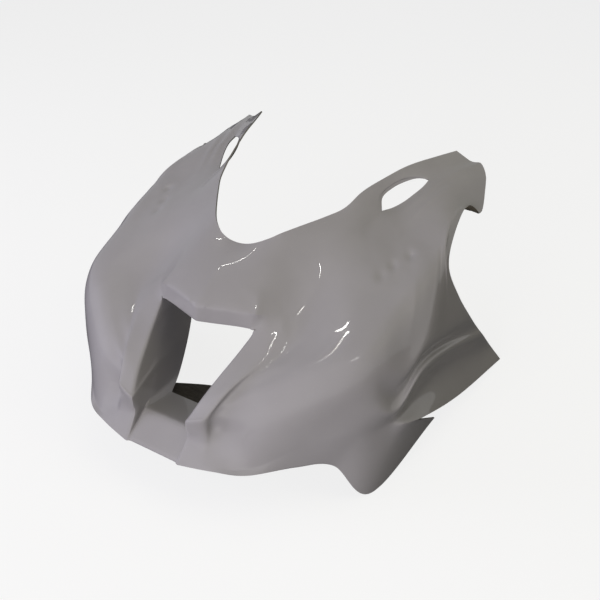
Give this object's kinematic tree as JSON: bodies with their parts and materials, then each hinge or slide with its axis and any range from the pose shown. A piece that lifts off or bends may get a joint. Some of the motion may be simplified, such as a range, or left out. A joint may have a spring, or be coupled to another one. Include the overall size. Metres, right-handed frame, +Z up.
{
  "type": "motorcycle nose fairing",
  "caption": "One-piece moulded nose fairing with a central air duct, an eye-shaped hole on each side, deep side panels and a flap below each side.",
  "frame": {"origin": "on the floor under the middle of the shell's box, at rest on its flap tips and rear lower corners", "axes": "+X across to the right side seen from the front, nose towards -Y, +Z up"},
  "size_m": [0.59, 0.555, 0.3609],
  "materials": {
    "gel_coat": "glossy grey gel coat outside, dull dark laminate inside"
  },
  "bodies": {
    "root": {"fairing_shell": "gel_coat"}
  },
  "joints": []
}
